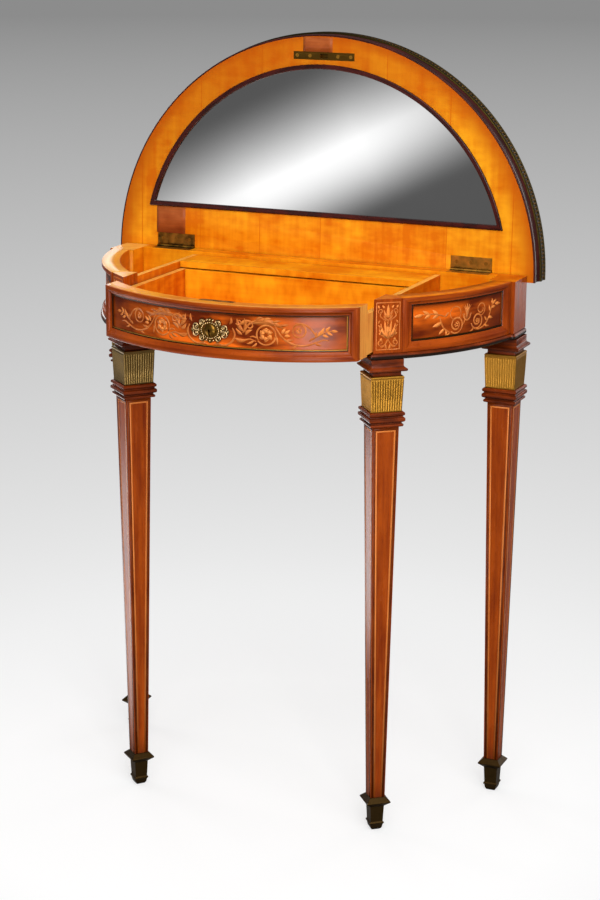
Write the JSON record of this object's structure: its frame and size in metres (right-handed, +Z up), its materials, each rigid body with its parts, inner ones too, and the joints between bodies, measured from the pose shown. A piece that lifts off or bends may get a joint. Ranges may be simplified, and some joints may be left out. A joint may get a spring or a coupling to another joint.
{
  "type": "demilune dressing table",
  "caption": "Half-round dressing table on tapered square legs, with a lift-up lid that holds a mirror, a curved drawer with a lock and an open well at each side.",
  "frame": {"origin": "on the floor, under the middle of the bounding box of the table with its lid open and its drawer a little way out", "axes": "+Z up, -Y the way the drawer pulls out, +Y the flat back, +X to the right when facing -Y side from the front"},
  "size_m": [0.655, 0.4146, 1.079],
  "materials": {
    "mahogany_case": "french polished",
    "mahogany_legs": "french polished",
    "mahogany_mouldings": "french polished",
    "marquetry_veneer": "french polished",
    "satinwood": "satin polish",
    "secondary_wood": "bare, planed",
    "gilt_bronze": "worn gilt",
    "patinated_bronze": "dark patina",
    "aged_brass": "aged",
    "mirror": "polished"
  },
  "bodies": {
    "carcase": {"leg_front_left": "mahogany_legs", "neck_moulding_front_left": "mahogany_mouldings", "capital_front_left": "gilt_bronze", "collar_front_left": "mahogany_mouldings", "sabot_front_left": "patinated_bronze", "leg_front_right": "mahogany_legs", "neck_moulding_front_right": "mahogany_mouldings", "capital_front_right": "gilt_bronze", "collar_front_right": "mahogany_mouldings", "sabot_front_right": "patinated_bronze", "leg_back_left": "mahogany_legs", "neck_moulding_back_left": "mahogany_mouldings", "capital_back_left": "gilt_bronze", "collar_back_left": "mahogany_mouldings", "sabot_back_left": "patinated_bronze", "leg_back_right": "mahogany_legs", "neck_moulding_back_right": "mahogany_mouldings", "capital_back_right": "gilt_bronze", "collar_back_right": "mahogany_mouldings", "sabot_back_right": "patinated_bronze", "front_block_left": "mahogany_case", "back_stile_left": "mahogany_case", "frieze_left": "satinwood", "frieze_frame_left": "mahogany_case", "frieze_panel_left": "marquetry_veneer", "base_moulding_left": "mahogany_mouldings", "divider_left": "satinwood", "front_block_right": "mahogany_case", "back_stile_right": "mahogany_case", "frieze_right": "satinwood", "frieze_frame_right": "mahogany_case", "frieze_panel_right": "marquetry_veneer", "base_moulding_right": "mahogany_mouldings", "divider_right": "satinwood", "base_board": "satinwood", "back_rail": "satinwood", "deck": "satinwood", "drawer_runners": "secondary_wood", "hinge_case_leaves": "aged_brass", "hinge_pins": "aged_brass", "hinge_case_screws": "aged_brass"},
    "lid": {"lid_board": "satinwood", "lid_edge_moulding": "mahogany_mouldings", "lid_metal_band": "gilt_bronze", "mirror_glass": "mirror", "mirror_frame": "mahogany_mouldings", "hinge_lid_leaves": "aged_brass", "lid_screws": "aged_brass", "keep_plate": "aged_brass"},
    "drawer": {"drawer_front": "secondary_wood", "drawer_frame": "mahogany_case", "drawer_panel": "marquetry_veneer", "drawer_side_left": "secondary_wood", "drawer_side_right": "secondary_wood", "drawer_back": "satinwood", "drawer_bottom": "satinwood", "lock_case": "aged_brass", "escutcheon": "gilt_bronze"},
    "lock_bolt": {"lock_bolt": "aged_brass"}
  },
  "joints": [
    {"name": "lid_hinge", "type": "hinge", "parent": "carcase", "child": "lid", "pos_m": [0, 0.1558, 0.7605], "axis": [1, 0, 0], "range_deg": [0, 92]},
    {"name": "drawer_slide", "type": "slide", "parent": "carcase", "child": "drawer", "axis": [0, -1, 0], "range_m": [-0.051, 0.149]},
    {"name": "lock_bolt_slide", "type": "slide", "parent": "drawer", "child": "lock_bolt", "axis": [0, 0, 1], "range_m": [0, 0.007]}
  ]
}
